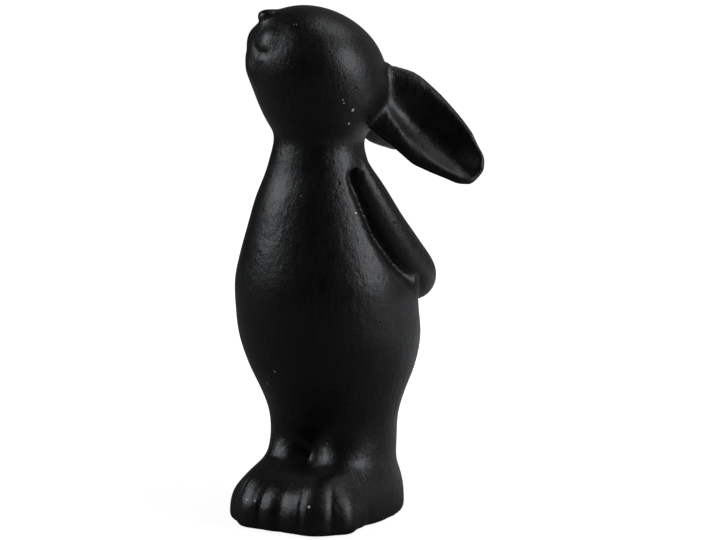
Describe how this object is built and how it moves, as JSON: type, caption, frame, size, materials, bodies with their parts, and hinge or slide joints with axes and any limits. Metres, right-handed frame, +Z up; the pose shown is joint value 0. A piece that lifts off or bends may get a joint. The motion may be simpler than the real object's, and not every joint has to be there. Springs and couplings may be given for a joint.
{
  "type": "rabbit figurine",
  "caption": "Standing rabbit figurine with its head tipped up and turned aside, ears laid back and arms folded behind its back, on felt pads.",
  "frame": {"origin": "middle of the figure's extent in plan, at the underside of the felt pads", "axes": "+Z up; the body faces -Y and its left side is at +X; the head is turned towards -X"},
  "size_m": [0.1052, 0.1054, 0.2153],
  "materials": {
    "satin_black_paint": "satin",
    "bead_gloss_black": "gloss",
    "steel_wire": "drawn",
    "plug_rubber": "matte",
    "black_felt": "matte"
  },
  "bodies": {
    "root": {"body_casting": "satin_black_paint", "head_casting": "satin_black_paint", "left_ear": "satin_black_paint", "right_ear": "satin_black_paint", "left_arm": "satin_black_paint", "right_arm": "satin_black_paint", "left_eye": "bead_gloss_black", "right_eye": "bead_gloss_black", "left_ear_pin": "steel_wire", "right_ear_pin": "steel_wire", "left_arm_pin": "steel_wire", "right_arm_pin": "steel_wire", "base_plug": "plug_rubber", "left_toe_pad": "black_felt", "left_heel_pad": "black_felt", "right_toe_pad": "black_felt", "right_heel_pad": "black_felt"}
  },
  "joints": []
}
